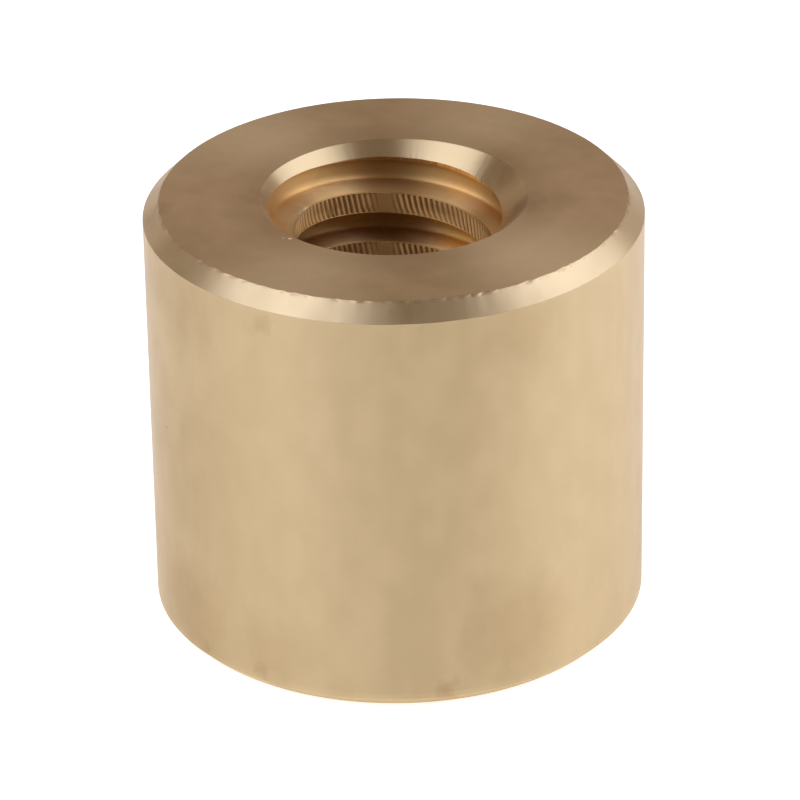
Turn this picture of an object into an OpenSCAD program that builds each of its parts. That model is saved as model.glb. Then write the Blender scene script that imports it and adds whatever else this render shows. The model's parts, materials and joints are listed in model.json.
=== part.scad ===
// Round lead screw nut, turned from one piece of bronze bar.
// A plain cylinder, chamfered at both ends, with a right-hand
// trapezoidal thread right through it and a countersink at each end.
// Millimetres, +Z up. The origin is the middle of the lower end face.

/* [Body] */
// Outside diameter
body_d = 45; // [38:0.5:70]
// Height from end face to end face
body_h = 40; // [25:1:55]
// Width and height of the chamfer round the upper end
top_chamfer = 1.5; // [0.2:0.1:3]
// Width and height of the chamfer round the lower end
bottom_chamfer = 1; // [0.2:0.1:3]

/* [Thread] */
// Nominal diameter of the screw that runs in the nut
screw_d = 22; // [16:1:26]
// Axial distance from one turn to the next
thread_pitch = 5; // [4:0.5:7]
// Angle between the two flanks of the groove
thread_angle = 30; // [24:1:30]
// Width of the bore over the crests, beyond the screw diameter less one pitch
crest_clearance = 0.7; // [0:0.1:1]
// Width across the groove roots, beyond the screw diameter
root_clearance = 0.5; // [0.3:0.1:1.2]
// Radius in the two root corners of the groove
root_round = 0.65; // [0.1:0.05:0.7]
// Compass angle at which the groove breaks out of the upper end face
thread_start = 270; // [0:5:355]

/* [Countersinks] */
// How much wider than the groove roots each countersink opens
countersink_margin = 1.6; // [0.2:0.1:2]

/* [Quality] */
// Straight steps in one turn of the groove
steps_per_turn = 48; // [24:4:48]
// Straight steps in each rounded root corner
root_steps = 3; // [1:1:3]

/* [Hidden] */
$fn = 128;

body_r = body_d / 2;

// Trapezoidal thread: groove and ridge are equally wide at the pitch radius
pitch_r = (screw_d - thread_pitch / 2) / 2;
crest_r = (screw_d - thread_pitch + crest_clearance) / 2;
root_r = (screw_d + root_clearance) / 2;
half_angle = thread_angle / 2;

// Countersinks open at 45 degrees, so their depth equals their width
countersink_r = root_r + countersink_margin / 2;
countersink_depth = countersink_r - crest_r;

// The groove cutter starts inside the bore, clear of the crests
cutter_inner_r = crest_r - 1;

// Half the height of the groove at radius r
function groove_half(r) = thread_pitch / 4 - (r - pitch_r) * tan(half_angle);

// A root corner as an arc from the root to the flank; side is 1 above and -1 below
root_arc = 90 - half_angle;
arc_centre_r = root_r - root_round;
arc_centre_z = groove_half(root_r) - root_round * tan(root_arc / 2);
function root_corner(side) = [
    for (i = [0 : root_steps])
        let (a = root_arc * i / root_steps)
            [arc_centre_r + root_round * cos(a), side * (arc_centre_z + root_round * sin(a))]
];
function reversed(points) = [for (i = [len(points) - 1 : -1 : 0]) points[i]];

// Section of the groove, as [radius, height] about its middle
groove_section = concat(
    [[cutter_inner_r, -groove_half(cutter_inner_r)]],
    reversed(root_corner(-1)),
    root_corner(1),
    [[cutter_inner_r, groove_half(cutter_inner_r)]]
);

// The groove section swept up a right-hand helix, a full turn past both end faces
module thread_groove() {
    turns = ceil(body_h / thread_pitch) + 2;
    start_z = body_h - (turns - 1) * thread_pitch;
    steps = turns * steps_per_turn;
    corners = len(groove_section);
    points = [
        for (i = [0 : steps], corner = groove_section)
            let (turn = i / steps_per_turn, a = thread_start + 360 * turn)
                [corner[0] * cos(a), corner[0] * sin(a), start_z + thread_pitch * turn + corner[1]]
    ];
    sides = [
        for (i = [0 : steps - 1], j = [0 : corners - 1])
            let (k = (j + 1) % corners, low = i * corners, high = low + corners)
                each [[low + j, low + k, high + k], [low + j, high + k, high + j]]
    ];
    start_cap = [[for (j = [corners - 1 : -1 : 0]) j]];
    end_cap = [[for (j = [0 : corners - 1]) steps * corners + j]];
    polyhedron(points, concat(sides, start_cap, end_cap), convexity = 2 * turns);
}

// The turned ring: outside, end faces, chamfers, countersinks and plain bore
module turned_blank() {
    rotate_extrude()
        polygon([
            [crest_r, countersink_depth],
            [countersink_r, 0],
            [body_r - bottom_chamfer, 0],
            [body_r, bottom_chamfer],
            [body_r, body_h - top_chamfer],
            [body_r - top_chamfer, body_h],
            [countersink_r, body_h],
            [crest_r, body_h - countersink_depth]
        ]);
}

module nut_body() {
    color("#c2a075")
        difference() {
            turned_blank();
            thread_groove();
        }
}

nut_body();
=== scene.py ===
"""Round lead screw nut, turned from bronze bar, with a right-hand trapezoidal thread."""

import json
import math

import bmesh
import bpy
from mathutils import Euler, Matrix, Vector, noise


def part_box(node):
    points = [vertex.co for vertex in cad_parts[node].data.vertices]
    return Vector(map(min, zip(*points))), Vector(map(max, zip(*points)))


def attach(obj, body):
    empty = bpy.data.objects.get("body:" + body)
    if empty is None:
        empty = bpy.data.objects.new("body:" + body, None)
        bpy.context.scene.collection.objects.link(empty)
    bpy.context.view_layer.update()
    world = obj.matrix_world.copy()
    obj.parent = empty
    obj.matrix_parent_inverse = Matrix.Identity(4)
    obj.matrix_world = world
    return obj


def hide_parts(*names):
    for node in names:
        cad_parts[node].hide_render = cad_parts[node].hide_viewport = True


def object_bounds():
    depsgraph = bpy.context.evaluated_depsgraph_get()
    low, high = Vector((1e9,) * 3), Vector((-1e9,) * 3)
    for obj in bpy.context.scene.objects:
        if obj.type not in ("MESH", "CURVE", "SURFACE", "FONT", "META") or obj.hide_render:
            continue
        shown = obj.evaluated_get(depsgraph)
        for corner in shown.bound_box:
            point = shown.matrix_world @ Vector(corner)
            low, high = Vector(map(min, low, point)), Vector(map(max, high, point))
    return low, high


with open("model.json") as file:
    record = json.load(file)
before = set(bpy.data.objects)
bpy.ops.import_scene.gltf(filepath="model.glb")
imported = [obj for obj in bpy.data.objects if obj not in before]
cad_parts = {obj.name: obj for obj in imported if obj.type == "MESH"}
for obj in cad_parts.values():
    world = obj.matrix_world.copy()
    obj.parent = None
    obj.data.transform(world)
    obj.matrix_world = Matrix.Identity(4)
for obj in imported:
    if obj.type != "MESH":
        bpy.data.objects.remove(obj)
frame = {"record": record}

cad_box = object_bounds()
scene = bpy.context.scene
scene.view_settings.view_transform = "Standard"


# --- Camera -------------------------------------------------------------------
# A long lens, looking down on the nut from the front. It is aimed at the middle
# of the nut and leans by less than a degree.

camera_elevation = math.radians(27.84)
camera_distance = 0.4553
camera_tilt = math.radians(62.077)
camera_roll = math.radians(0.828)
camera_turn = math.radians(-0.480)

nut_middle = (cad_box[0] + cad_box[1]) / 2
camera_data = bpy.data.cameras.new("camera")
camera_data.sensor_width = 36
camera_data.lens = 224.34
camera = bpy.data.objects.new("camera", camera_data)
camera.location = nut_middle + camera_distance * Vector(
    (0, -math.cos(camera_elevation), math.sin(camera_elevation))
)
camera.rotation_euler = Euler((camera_tilt, camera_roll, camera_turn), "XYZ")
scene.collection.objects.link(camera)
scene.camera = camera


# --- Room ---------------------------------------------------------------------
# A dim plain room, paler at the back and darker at the front. Each wall begins and
# is full at a share of the way from the side to straight behind or in front.

room_grey = (0.29, 0.235, 0.21, 1)
back_wall = ((0.47, 0.385, 0.36, 1), 0.35, 0.75)
front_wall = ((0.08, 0.055, 0.045, 1), -0.6, -0.9)

world = bpy.data.worlds.new("room")
world.use_nodes = True
tree = world.node_tree
direction = tree.nodes.new("ShaderNodeTexCoord")
parts = tree.nodes.new("ShaderNodeSeparateXYZ")
tree.links.new(direction.outputs["Generated"], parts.inputs[0])
room = tree.nodes.new("ShaderNodeRGB").outputs[0]
room.default_value = room_grey
for wall_grey, begins, full in (back_wall, front_wall):
    towards_wall = tree.nodes.new("ShaderNodeMapRange")
    towards_wall.inputs["From Min"].default_value = begins
    towards_wall.inputs["From Max"].default_value = full
    tree.links.new(parts.outputs["Y"], towards_wall.inputs["Value"])
    walls = tree.nodes.new("ShaderNodeMix")
    walls.data_type = "RGBA"
    walls.inputs["B"].default_value = wall_grey
    tree.links.new(towards_wall.outputs[0], walls.inputs["Factor"])
    tree.links.new(room, walls.inputs["A"])
    room = walls.outputs["Result"]
tree.links.new(room, tree.nodes["Background"].inputs["Color"])
scene.world = world


# --- Soft boxes ---------------------------------------------------------------
# Two large fabric soft boxes, slightly cool, over the left and the right shoulder
# of the nut. Each faces the nut's middle.

softbox_tint = (0.92, 1.0, 1.28)
softbox_distance = 0.6


def softbox(name, direction, width, height, radiance):
    """A soft box that faces the nut from a direction, as bright as a radiance."""
    lamp = bpy.data.lights.new(name, "AREA")
    lamp.shape = "RECTANGLE"
    lamp.size = width
    lamp.size_y = height
    lamp.color = softbox_tint
    lamp.energy = radiance * math.pi * width * height
    box = bpy.data.objects.new(name, lamp)
    towards = Vector(direction).normalized()
    box.location = nut_middle + softbox_distance * towards
    box.rotation_euler = towards.to_track_quat("Z", "Y").to_euler()
    box.visible_camera = False
    scene.collection.objects.link(box)


softbox("left_softbox", (-0.57, -0.25, 0.79), 0.58, 0.5, radiance=1.92)
softbox("right_softbox", (0.755, 0.09, 0.64), 0.66, 0.55, radiance=1.73)


# --- Table --------------------------------------------------------------------
# A matt white sheet that the nut stands on. The camera and the bright metal see it
# as plain white, apart from the patch under the nut, where no light reaches it.

table_half_width = 2
table_colour = (0.9, 0.9, 0.9, 1)
table_glow = 0.70
glow_begins_r = 0.0200
glow_full_r = 0.0212

table_bm = bmesh.new()
bmesh.ops.create_grid(table_bm, x_segments=1, y_segments=1, size=table_half_width)
table_mesh = bpy.data.meshes.new("table")
table_bm.to_mesh(table_mesh)
table_bm.free()
table = bpy.data.objects.new("table", table_mesh)
scene.collection.objects.link(table)

table_white = bpy.data.materials.new("table_white")
table_white.use_nodes = True
tree = table_white.node_tree
tree.nodes.clear()
sheet = tree.nodes.new("ShaderNodeBsdfDiffuse")
sheet.inputs["Color"].default_value = table_colour
light_path = tree.nodes.new("ShaderNodeLightPath")
seen = tree.nodes.new("ShaderNodeMath")
seen.operation = "MAXIMUM"
tree.links.new(light_path.outputs["Is Camera Ray"], seen.inputs[0])
tree.links.new(light_path.outputs["Is Glossy Ray"], seen.inputs[1])
place = tree.nodes.new("ShaderNodeTexCoord")
from_middle = tree.nodes.new("ShaderNodeVectorMath")
from_middle.operation = "LENGTH"
tree.links.new(place.outputs["Object"], from_middle.inputs[0])
beyond_nut = tree.nodes.new("ShaderNodeMapRange")
beyond_nut.inputs["From Min"].default_value = glow_begins_r
beyond_nut.inputs["From Max"].default_value = glow_full_r
beyond_nut.inputs["To Max"].default_value = table_glow
tree.links.new(from_middle.outputs["Value"], beyond_nut.inputs["Value"])
glow_strength = tree.nodes.new("ShaderNodeMath")
glow_strength.operation = "MULTIPLY"
tree.links.new(seen.outputs[0], glow_strength.inputs[0])
tree.links.new(beyond_nut.outputs[0], glow_strength.inputs[1])
seen_glow = tree.nodes.new("ShaderNodeEmission")
tree.links.new(glow_strength.outputs[0], seen_glow.inputs["Strength"])
both = tree.nodes.new("ShaderNodeAddShader")
tree.links.new(sheet.outputs[0], both.inputs[0])
tree.links.new(seen_glow.outputs[0], both.inputs[1])
surface = tree.nodes.new("ShaderNodeOutputMaterial")
tree.links.new(both.outputs[0], surface.inputs["Surface"])
table_mesh.materials.append(table_white)


# --- Nut ----------------------------------------------------------------------
# One piece of leaded tin bronze. It is turned to size from bar, faced, bored,
# countersunk and chamfered, and the thread is cut on the lathe. The ends and the
# outside are fine turned, and the thread is rougher.

mm = 0.001
nut_low, nut_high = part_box("nut_body")
body_r = (nut_high.x - nut_low.x) / 2
body_h = nut_high.z
mounts = {mount["name"]: mount for mount in frame["record"]["mounts"]}
crest_r = mounts["screw_thread"]["dims"]["r_mm"] * mm
thread_length = mounts["screw_thread"]["dims"]["length_mm"] * mm
outside_length = mounts["outer_diameter"]["dims"]["length_mm"] * mm

pitch = 5 * mm
groove_half = 1.49 * mm       # half the groove's height at its mouth
flank_slope = math.tan(math.radians(15))
root_r = 11.25 * mm
root_round = 0.65 * mm
crest_edge_round = 0.06 * mm
thread_start = math.radians(270)

# Each 45 degree countersink is as deep as it is wide beyond the crests
countersink_r = crest_r + (body_h - thread_length) / 2
bottom_chamfer = 1.0 * mm
top_chamfer = body_h - outside_length - bottom_chamfer
edge_break = 0.05 * mm

# The tool chattered as it bored the nut, which left a fringe of fine leaning ribs.
# They die away in one narrow stretch at the back, which is given in degrees.
ribs_per_turn = 106
steps_per_rib = 4
turn_steps = ribs_per_turn * steps_per_rib
rib_depth = 0.10 * mm
rib_lean = 3 * 2 * math.pi / turn_steps
land_rows = 4
smooth_stretch = 5
smooth_stretch_spread = 6


def rounded(corners, closed=True):
    """Outline through corners given as (r, z, radius, steps), each rounded to its radius."""
    points = []
    for i, (r, z, radius, steps) in enumerate(corners):
        here = Vector((r, z))
        back = Vector(corners[i - 1][:2]) - here
        ahead = Vector(corners[(i + 1) % len(corners)][:2]) - here
        if radius == 0 or (not closed and i in (0, len(corners) - 1)):
            points.append(here)
            continue
        back.normalize()
        ahead.normalize()
        half = back.angle(ahead) / 2
        reach = radius / math.tan(half)
        centre = here + (back + ahead).normalized() * radius / math.sin(half)
        start = here + back * reach - centre
        end = here + ahead * reach - centre
        sweep = start.angle_signed(end)
        for step in range(steps + 1):
            turn = Matrix.Rotation(-sweep * step / steps, 2)
            points.append(centre + turn @ start)
    return points


def turned_blank():
    """The blank before threading. Its bore is a little under the crests of the thread."""
    bore_r = crest_r - 0.8 * mm
    depth = countersink_r - bore_r
    # Two plain rings keep the ragged edge of the upper end face to itself
    below_edge = 0.25 * mm
    inside_edge = 0.3 * mm
    corners = [
        (bore_r, depth, 0, 0),
        (countersink_r, 0, edge_break, 3),
        (body_r - bottom_chamfer, 0, edge_break, 3),
        (body_r, bottom_chamfer, edge_break, 3),
        (body_r, body_h - top_chamfer, edge_break, 3),
        (body_r - top_chamfer + below_edge, body_h - below_edge, 0, 0),
        (body_r - top_chamfer, body_h, edge_break, 3),
        (body_r - top_chamfer - inside_edge, body_h, 0, 0),
        (countersink_r, body_h, edge_break, 3),
        (bore_r, body_h - depth, 0, 0),
    ]
    bm = bmesh.new()
    verts = [bm.verts.new((p.x, 0, p.y)) for p in rounded(corners)]
    edges = [bm.edges.new(pair) for pair in zip(verts, verts[1:] + verts[:1])]
    bmesh.ops.spin(
        bm,
        geom=verts + edges,
        cent=(0, 0, 0),
        axis=(0, 0, 1),
        dvec=(0, 0, 0),
        angle=2 * math.pi,
        steps=turn_steps,
        use_merge=True,
        use_duplicate=False,
    )
    # The marks of the turning: burrs and waver in millimetres, and how fine each noise is
    burr_height = 0.18
    burr_waver = 0.05
    share_behind = 0.1
    side_edge_waver = 0.03
    fine_grain = 1900
    coarse_grain = 350
    ripple_depth = 0.022 * mm
    ripples_round = 40
    near_edge = 0.15 * mm
    for vert in bm.verts:
        r = vert.co.xy.length
        fine = noise.noise(vert.co * fine_grain)
        coarse = noise.noise(vert.co * coarse_grain)
        if abs(r - body_r + top_chamfer) < near_edge and vert.co.z > body_h - near_edge:
            # The edge between the upper end face and its chamfer is a little ragged in front
            burr = (burr_height * fine + burr_waver * coarse) * (share_behind if vert.co.y > 0 else 1)
            vert.co.xy *= 1 + burr * mm / r
        elif abs(r - body_r) < 0.1 * mm:
            vert.co.z += side_edge_waver * coarse * mm
        elif r < body_r / 2:
            # Faint chatter ripples run down the countersinks
            round_place = Vector((vert.co.x, vert.co.y, 0)).normalized()
            ripple = ripple_depth * noise.noise(round_place * ripples_round)
            vert.co.xy *= 1 - ripple / r
            vert.co.z += ripple if vert.co.z > body_h / 2 else -ripple
        vert.co.z = min(max(vert.co.z, 0), body_h)
    bmesh.ops.recalc_face_normals(bm, faces=bm.faces)
    return bm


def thread_tap():
    """The hollow of the thread as a solid, which is taken out of the blank."""
    land = pitch - 2 * groove_half
    rise = (root_r - crest_r) * flank_slope
    corners = [
        (crest_r, land / 2, 0, 0),
        (crest_r, land, crest_edge_round, 2),
        (root_r, land + rise, root_round, 6),
        (root_r, pitch - rise, root_round, 6),
        (crest_r, pitch, crest_edge_round, 2),
        (crest_r, pitch + land / 2, 0, 0),
    ]
    outline = rounded(corners, closed=False)[1:-1]
    foot = outline[-1] - Vector((0, pitch))
    head = outline[0]
    rows = [foot.lerp(head, row / land_rows) for row in range(land_rows)]
    turns = math.ceil(body_h / pitch) + 3
    # The groove's middle breaks out of the upper end face at the start angle
    start_z = body_h - (turns - 2) * pitch - (land + pitch) / 2
    bm = bmesh.new()
    verts = []
    for row, point in enumerate(rows + outline):
        # Up the land, each row is a little further round, so the ribs lean
        ahead = rib_lean * min(row / land_rows, 1)
        place = Vector((point.x, 0, point.y + start_z + pitch * ahead / (2 * math.pi)))
        verts.append(bm.verts.new(Matrix.Rotation(thread_start + ahead, 3, "Z") @ place))
    edges = [bm.edges.new(pair) for pair in zip(verts, verts[1:])]
    bmesh.ops.spin(
        bm,
        geom=verts + edges,
        cent=(0, 0, 0),
        axis=(0, 0, 1),
        dvec=(0, 0, pitch / turn_steps),
        angle=2 * math.pi,
        steps=turn_steps,
        use_merge=False,
        use_duplicate=False,
    )
    one_turn = bm.faces[:]
    for turn in range(1, turns):
        copy = bmesh.ops.duplicate(bm, geom=one_turn)["geom"]
        copied = [item for item in copy if isinstance(item, bmesh.types.BMVert)]
        bmesh.ops.translate(bm, verts=copied, vec=(0, 0, turn * pitch))
    bmesh.ops.remove_doubles(bm, verts=bm.verts, dist=0.001 * mm)
    first_row = foot.y + start_z
    for vert in bm.verts:
        if abs(vert.co.xy.length - crest_r) < 0.001 * mm:
            angle = math.atan2(vert.co.y, vert.co.x) - thread_start
            height = (vert.co.z - first_row - pitch * angle / (2 * math.pi)) % pitch
            row = round(height / (head.y - foot.y) * land_rows)
            step = (angle - rib_lean * row / land_rows) * turn_steps / (2 * math.pi)
            phase = round(step) % steps_per_rib
            cut = rib_depth * (1 - math.cos(2 * math.pi * phase / steps_per_rib)) / 2
            from_smooth = math.degrees(math.atan2(-vert.co.x, vert.co.y)) - smooth_stretch
            cut *= 1 - math.exp(-((from_smooth / smooth_stretch_spread) ** 2))
            vert.co.xy *= 1 + cut / crest_r
    # Both ends are closed well outside the blank
    open_edges = [edge for edge in bm.edges if edge.is_boundary]
    for end_z in (start_z - pitch, start_z + (turns + 2) * pitch):
        rim = [e for e in open_edges if abs(e.verts[0].co.z - end_z) < 4 * pitch]
        grown = bmesh.ops.extrude_edge_only(bm, edges=rim)["geom"]
        tips = [item for item in grown if isinstance(item, bmesh.types.BMVert)]
        bmesh.ops.pointmerge(bm, verts=tips, merge_co=(0, 0, end_z))
    bmesh.ops.recalc_face_normals(bm, faces=bm.faces)
    return bm


def deburring_file():
    """What rounds off the thin lip where the groove breaks into the upper countersink."""
    # The section is drawn about the lip's sharp tip, for a lip cut back by 1 mm
    up_cone = Vector((1, 1)).normalized()
    under_lip = Vector((1, -flank_slope)).normalized()
    into_lip = (up_cone + under_lip).normalized()
    section = [
        up_cone,
        under_lip,
        under_lip + Vector((0, -0.1)),
        -0.6 * into_lip,
        up_cone + Vector((-0.1, 0.1)),
    ]
    # It is spun well clear of the axis, and each point is then moved to the lip
    clear_r = 10
    first = math.radians(-62)
    last = math.radians(122)
    # The cut is in millimetres, and is deepest at the back on the right
    least_cut = 0.2
    extra_cut = 0.22
    deepest_at = 60
    deepest_spread = 34
    cut_waver = 0.05
    wavers_per_degree = 1.3
    fade_per_radian = 2.5
    least_share = 0.02
    bm = bmesh.new()
    verts = [bm.verts.new((clear_r + p.x, 0, p.y)) for p in section]
    edges = [bm.edges.new(pair) for pair in zip(verts, verts[1:] + verts[:1])]
    bmesh.ops.rotate(bm, verts=verts, cent=(0, 0, 0), matrix=Matrix.Rotation(first, 3, "Z"))
    bmesh.ops.spin(
        bm,
        geom=verts + edges,
        cent=(0, 0, 0),
        axis=(0, 0, 1),
        dvec=(0, 0, 0),
        angle=last - first,
        steps=312,
        use_merge=False,
        use_duplicate=False,
    )
    for vert in bm.verts:
        angle = math.atan2(vert.co.y, vert.co.x)
        degrees = math.degrees(angle)
        groove_depth = pitch * (thread_start - angle) / (2 * math.pi) % pitch
        tip_r = (countersink_r + crest_r * flank_slope + groove_half - groove_depth) / (1 + flank_slope)
        tip_z = body_h - (countersink_r - tip_r)
        cut_back = least_cut + extra_cut * math.exp(-((degrees - deepest_at) / deepest_spread) ** 2)
        cut_back += cut_waver * noise.noise(Vector((degrees * wavers_per_degree, 0, 0)))
        from_end = min(last - angle, angle - first)
        cut_back *= min(1, from_end * fade_per_radian) + least_share
        r = tip_r + cut_back * mm * (vert.co.xy.length - clear_r)
        z = tip_z + cut_back * mm * vert.co.z
        vert.co = (r * math.cos(angle), r * math.sin(angle), z)
    bmesh.ops.holes_fill(bm, edges=bm.edges, sides=0)
    bmesh.ops.recalc_face_normals(bm, faces=bm.faces)
    return bm


def dents():
    """Small dents from handling, as balls sunk into the surface: x, y, z, radius, sunk."""
    bm = bmesh.new()
    for x, y, z, radius, sunk in (
        (-9.15, -8.50, 40.00, 0.30, 0.10),
        (-9.75, -8.35, 40.00, 0.22, 0.06),
        (20.83, -7.05, 37.60, 0.20, 0.12),
        (0.47, -22.50, 1.46, 0.16, 0.05),
        (1.54, -22.45, 1.21, 0.14, 0.05),
        (4.49, -22.05, 1.74, 0.22, 0.05),
        (-20.62, -9.00, 21.72, 0.20, 0.06),
    ):
        at = Vector((x, y, z)) * mm
        outward = Vector((0, 0, 1)) if z == 40 else Vector((x, y, 0)).normalized()
        ball = bmesh.ops.create_icosphere(bm, subdivisions=3, radius=radius * mm)["verts"]
        bmesh.ops.translate(bm, verts=ball, vec=at + outward * (radius - sunk) * mm)
    return bm


def as_object(bm, name):
    """A bmesh as an object of the scene."""
    mesh = bpy.data.meshes.new(name)
    bm.to_mesh(mesh)
    bm.free()
    made = bpy.data.objects.new(name, mesh)
    scene.collection.objects.link(made)
    return made


nut = as_object(turned_blank(), "nut")
for cutter in (
    as_object(deburring_file(), "deburring_file"),
    as_object(dents(), "dents"),
    as_object(thread_tap(), "thread_tap"),
):
    cutting = nut.modifiers.new(cutter.name, "BOOLEAN")
    cutting.operation = "DIFFERENCE"
    cutting.solver = "EXACT"
    cutting.object = cutter
    settled = nut.evaluated_get(bpy.context.evaluated_depsgraph_get())
    cut_mesh = bpy.data.meshes.new_from_object(settled)
    nut.modifiers.clear()
    nut.data = cut_mesh
    bpy.data.objects.remove(cutter)

nut.data.shade_smooth()
nut.data.set_sharp_from_angle(angle=math.radians(35))
weighting = nut.modifiers.new("weighting", "WEIGHTED_NORMAL")
weighting.keep_sharp = True

# The bronze's colours. A pair goes from the darker to the paler of its patches.
side_colours = ((0.614, 0.469, 0.255, 1), (0.632, 0.484, 0.267, 1))
end_face_colours = ((0.60, 0.445, 0.235, 1), (0.65, 0.487, 0.267, 1))
bright_chamfer_colour = (0.70, 0.547, 0.315, 1)
# A dark colour for real stains and for painted shade
stain_and_shade_colour = (0.45, 0.31, 0.15, 1)
# The thread's deep orange is painted light, bounced between its walls; the flanks' darker tone is
# painted shade
painted_bounce_root_colour = (0.73, 0.465, 0.183, 1)
painted_shade_flank_colour = (0.62, 0.405, 0.178, 1)
# Painted shade in the thread
painted_shade_colour = (0.45, 0.27, 0.10, 1)
# Painted light in the thread
painted_light_colour = (1.0, 0.62, 0.19, 1)
# Painted light on the ribs' tops, and painted shade between them
rib_tops_painted_light_colour = (0.86, 0.555, 0.225, 1)
painted_shade_between_ribs_colour = (0.43, 0.235, 0.08, 1)

# How rough each surface is, and a pair goes the same way
side_roughness = (0.49, 0.465)
end_face_roughness = (0.38, 0.34)
chamfer_roughness = (0.46, 0.42)
countersink_roughness = 0.37
rib_roughness = 0.68
flank_roughness = 0.31
root_roughness = 0.57

bronze = bpy.data.materials.new("turned_bronze")
bronze.use_nodes = True
tree = bronze.node_tree
shader = tree.nodes["Principled BSDF"]
shader.inputs["Metallic"].default_value = 1
shader.inputs["Anisotropic"].default_value = 0.85


def feed(socket, value):
    """Links an output to a socket, or sets the socket to a number, vector or colour."""
    if isinstance(value, bpy.types.NodeSocket):
        tree.links.new(value, socket)
    else:
        socket.default_value = value


def node(kind, **settings):
    """A new node of the bronze, with its own properties set."""
    made = tree.nodes.new(kind)
    for name, value in settings.items():
        setattr(made, name, value)
    return made


def arithmetic(operation, *values):
    """A Math node on numbers or outputs."""
    made = node("ShaderNodeMath", operation=operation)
    for socket, value in zip(made.inputs, values):
        feed(socket, value)
    return made.outputs[0]


def vector_math(operation, *values):
    """A Vector Math node on vectors or outputs."""
    made = node("ShaderNodeVectorMath", operation=operation)
    for socket, value in zip(made.inputs, values):
        feed(socket, value)
    return made.outputs["Value" if operation == "DISTANCE" else "Vector"]


def ramp(value, low, high, start=0.0, end=1.0):
    """A number that goes from start to end as a value goes from low to high."""
    made = node("ShaderNodeMapRange")
    feed(made.inputs["Value"], value)
    for name, number in (("From Min", low), ("From Max", high), ("To Min", start), ("To Max", end)):
        feed(made.inputs[name], number)
    return made.outputs[0]


def blend(factor, first, second, data_type="FLOAT"):
    """A Mix node from a first to a second number or output."""
    made = node("ShaderNodeMix", data_type=data_type)
    for name, value in (("Factor", factor), ("A", first), ("B", second)):
        feed(made.inputs[name], value)
    return made.outputs["Result"]


def tinted(factor, under, over):
    """A Mix node from one colour, or a colour output, to another."""
    return blend(factor, under, over, "RGBA")


place = node("ShaderNodeTexCoord").outputs["Object"]
split = node("ShaderNodeSeparateXYZ")
feed(split.inputs[0], place)
height = split.outputs["Z"]
radius_squared = arithmetic(
    "ADD",
    arithmetic("MULTIPLY", split.outputs["X"], split.outputs["X"]),
    arithmetic("MULTIPLY", split.outputs["Y"], split.outputs["Y"]),
)
from_axis = arithmetic("SQRT", radius_squared)
depth = arithmetic("MINIMUM", height, arithmetic("SUBTRACT", body_h, height))

# The thread lies inside the countersinks' cones
cone_reach = arithmetic("ADD", from_axis, depth)
inside = ramp(from_axis, root_r + 0.1 * mm, root_r + 0.2 * mm, 1, 0)
off_cone = ramp(cone_reach, countersink_r + 0.03 * mm, countersink_r + 0.1 * mm)
in_thread = arithmetic("MULTIPLY", inside, off_cone)
within_cone = ramp(from_axis, countersink_r - 0.03 * mm, countersink_r, 1, 0)
on_countersink = arithmetic("MULTIPLY", within_cone, arithmetic("SUBTRACT", 1, in_thread))

# The chamfers lie outside the end faces, and the upper one is cut bright
edge_r = body_r - top_chamfer
on_edge = ramp(arithmetic("SUBTRACT", from_axis, depth), edge_r - 0.03 * mm, edge_r)
near_end = ramp(depth, top_chamfer - 0.03 * mm, top_chamfer, 1, 0)
on_chamfer = arithmetic("MULTIPLY", on_edge, near_end)
bright_chamfer = arithmetic("MULTIPLY", on_chamfer, ramp(height, 0, body_h))
on_end_face = ramp(depth, 0.02 * mm, 0.05 * mm, 1, 0)

# The highlight stretches across the tool marks
round_axis = vector_math("CROSS_PRODUCT", (0, 0, 1), place)
facing = node("ShaderNodeNewGeometry").outputs["Normal"]
across_marks = vector_math("CROSS_PRODUCT", facing, round_axis)
feed(shader.inputs["Tangent"], vector_math("NORMALIZE", across_marks))

# Tool marks: a noise that changes quickly across them and slowly along them
per_metre_across = 9000
per_metre_along = 60
marks_place = node("ShaderNodeCombineXYZ")
feed(marks_place.inputs["X"], arithmetic("MULTIPLY", from_axis, per_metre_across))
feed(marks_place.inputs["Y"], arithmetic("MULTIPLY", height, per_metre_across))
feed(marks_place.inputs["Z"], arithmetic("MULTIPLY", split.outputs["X"], per_metre_along))
marks = node("ShaderNodeTexNoise", noise_dimensions="4D")
feed(marks.inputs["Vector"], marks_place.outputs[0])
feed(marks.inputs["W"], arithmetic("MULTIPLY", split.outputs["Y"], per_metre_along))
feed(marks.inputs["Scale"], 1)
feed(marks.inputs["Detail"], 2)
tool_bump = node("ShaderNodeBump")
feed(tool_bump.inputs["Strength"], 0.3)
feed(tool_bump.inputs["Distance"], 0.003 * mm)
feed(tool_bump.inputs["Height"], marks.outputs[0])
feed(shader.inputs["Normal"], tool_bump.outputs[0])


def uneven(stretch, scale, detail):
    """A noise of the place on the nut, stretched by a factor for each axis."""
    made = node("ShaderNodeTexNoise")
    feed(made.inputs["Vector"], vector_math("MULTIPLY", place, stretch))
    feed(made.inputs["Scale"], scale)
    feed(made.inputs["Detail"], detail)
    return made


# Dull patches and, on the side, faint streaks from the lathe that run up it
patches = uneven((1, 1, 0.7), 380, 5).outputs[0]
streaks = uneven((1, 1, 0.05), 420, 3).outputs[0]
side_tone = ramp(arithmetic("ADD", patches, arithmetic("MULTIPLY", streaks, 0.5)), 0.6, 0.9)
patch_tone = ramp(patches, 0.35, 0.65)
colour = tinted(bright_chamfer, tinted(side_tone, *side_colours), bright_chamfer_colour)
colour = tinted(on_end_face, colour, tinted(patch_tone, *end_face_colours))

# The edges of the spots, stained and painted alike, wander. The noise is about a half, so the mean
# shift is taken off.
wander_reach = 3 * mm
mean_wander = wander_reach / 2
wander = uneven((1, 1, 1), 700, 3).outputs["Color"]
wandered = vector_math("ADD", place, vector_math("MULTIPLY", wander, [wander_reach] * 3))


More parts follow.
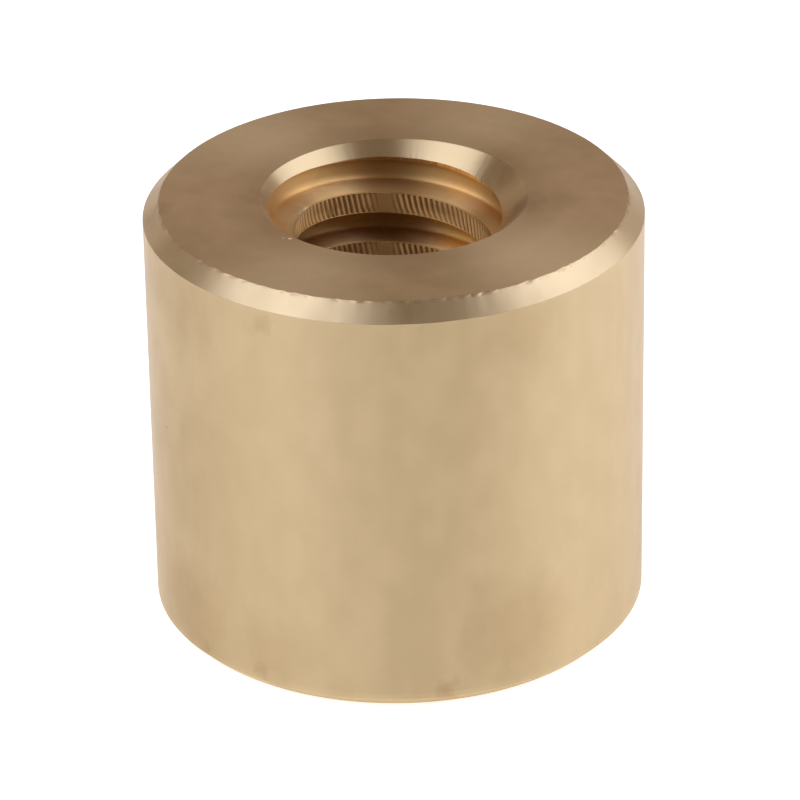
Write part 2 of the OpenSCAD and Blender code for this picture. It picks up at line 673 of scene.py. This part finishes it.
def stains_and_painted_light(*spots):
    """How marked a point is by spots given as x, y, z and reach in millimetres, and strength. They
    serve for real stains and for painted light and shade.
    """
    spotted = 0
    for x, y, z, reach, strength in spots:
        middle = [along * mm + mean_wander for along in (x, y, z)]
        away = vector_math("DISTANCE", wandered, middle)
        spot = ramp(away, reach * mm * 0.3, reach * mm, strength, 0)
        spotted = arithmetic("MAXIMUM", spot, spotted)
    return spotted


# Real stains and marks, and painted shade in the upper countersink and broad on the side
outside_stains_and_shade = stains_and_painted_light(
    # The front of the side, low on the right
    (10.6, -19.8, 6.4, 6.5, 0.4),
    (8.5, -20.8, 11.0, 3.0, 0.22),
    # Small marks near the side's ends
    (4.3, -22.1, 1.7, 1.6, 0.5),
    (-11.7, -19.2, 37.0, 1.6, 0.4),
    (-17.7, -13.8, 1.8, 1.8, 0.5),
    (-12.2, -18.9, 2.1, 1.4, 0.5),
    # The upper countersink: painted shade that dims its reflections
    (11.4, -1.8, 39.4, 2.9, 1.0),
    (10.6, 5.0, 39.4, 2.4, 0.6),
    (-11.2, 0.3, 39.3, 2.6, 0.85),
    (-10.4, -4.2, 39.0, 2.2, 0.4),
    (9.0, 7.2, 39.5, 2.6, 0.5),
    # The upper end face and its chamfer
    (-21.7, -2.0, 39.3, 2.5, 0.45),
    (0.8, -21.4, 39.4, 2.0, 0.4),
    (-19.2, -9.0, 40.0, 3.5, 0.35),
    (15.0, -1.5, 40.0, 2.2, 0.3),
    # Broad faint painted shade on the side, dimming its reflections
    (-19.3, -11.5, 5.0, 7.0, 0.42),
    (-19.3, -11.5, 20.0, 9.0, 0.22),
    (-19.3, -11.5, 35.5, 6.0, 0.32),
    (11.2, -19.5, 36.0, 5.0, 0.30),
    (-11.2, -19.5, 4.0, 5.0, 0.25),
)
colour = tinted(outside_stains_and_shade, colour, stain_and_shade_colour)

# Painted shade darkens the face round the hole
shade_near_hole = arithmetic("MULTIPLY", on_end_face, ramp(from_axis, 13 * mm, 16 * mm, 0.45, 0))
colour = tinted(shade_near_hole, colour, stain_and_shade_colour)

# In the thread the flanks are painted a little darker than the roots, as shade, and both are painted a
# deep orange for light bounced between the walls
on_flank = arithmetic(
    "MULTIPLY",
    ramp(from_axis, crest_r + 0.15 * mm, crest_r + 0.35 * mm),
    ramp(from_axis, root_r - 0.9 * mm, root_r - 0.4 * mm, 1, 0),
)
thread_colour = tinted(on_flank, painted_bounce_root_colour, painted_shade_flank_colour)

# Painted shade darkens the roots at the back and spots on the groove's left, and painted light
# brightens other spots
back_painted_shade = ramp(split.outputs["Y"], 10.6 * mm, 11.2 * mm, 0, 0.6)
thread_colour = tinted(back_painted_shade, thread_colour, painted_shade_colour)
painted_shade_spots = stains_and_painted_light((-5.4, 7.7, 36.3, 2.6, 0.5), (-7.5, 4.6, 35.5, 2.0, 0.25))
thread_colour = tinted(painted_shade_spots, thread_colour, painted_shade_colour)
painted_light_spots = stains_and_painted_light(
    (6.6, 9.0, 32.0, 3.6, 1.0),
    (6.6, 9.2, 37.6, 3.0, 0.45),
    (-8.2, 7.7, 38.6, 2.6, 0.2),
)
thread_colour = tinted(painted_light_spots, thread_colour, painted_light_colour)

# Painted light makes the ribs' tops bright, and painted shade makes the grooves between them much
# darker
on_land = ramp(from_axis, crest_r + 1.1 * rib_depth, crest_r + 2 * rib_depth, 1, 0)
below_tops = ramp(from_axis, crest_r + 0.1 * rib_depth, crest_r + rib_depth)
painted_shade_between_ribs = arithmetic("MULTIPLY", below_tops, on_land)
thread_colour = tinted(on_land, thread_colour, rib_tops_painted_light_colour)
thread_colour = tinted(painted_shade_between_ribs, thread_colour, painted_shade_between_ribs_colour)
feed(shader.inputs["Base Color"], tinted(in_thread, colour, thread_colour))

roughness = ramp(side_tone, 0, 1, *side_roughness)
roughness = blend(on_end_face, roughness, ramp(patch_tone, 0, 1, *end_face_roughness))
roughness = blend(on_chamfer, roughness, ramp(patches, 0.35, 0.65, *chamfer_roughness))
roughness = blend(on_countersink, roughness, countersink_roughness)
off_ribs = (crest_r + 0.12 * mm, crest_r + 0.2 * mm)
thread_roughness = ramp(from_axis, *off_ribs, rib_roughness, flank_roughness)
near_root = ramp(from_axis, root_r - 0.5 * mm, root_r - 0.1 * mm)
thread_roughness = blend(near_root, thread_roughness, root_roughness)
feed(shader.inputs["Roughness"], blend(in_thread, roughness, thread_roughness))
nut.data.materials.append(bronze)

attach(nut, "root")
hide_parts("nut_body")
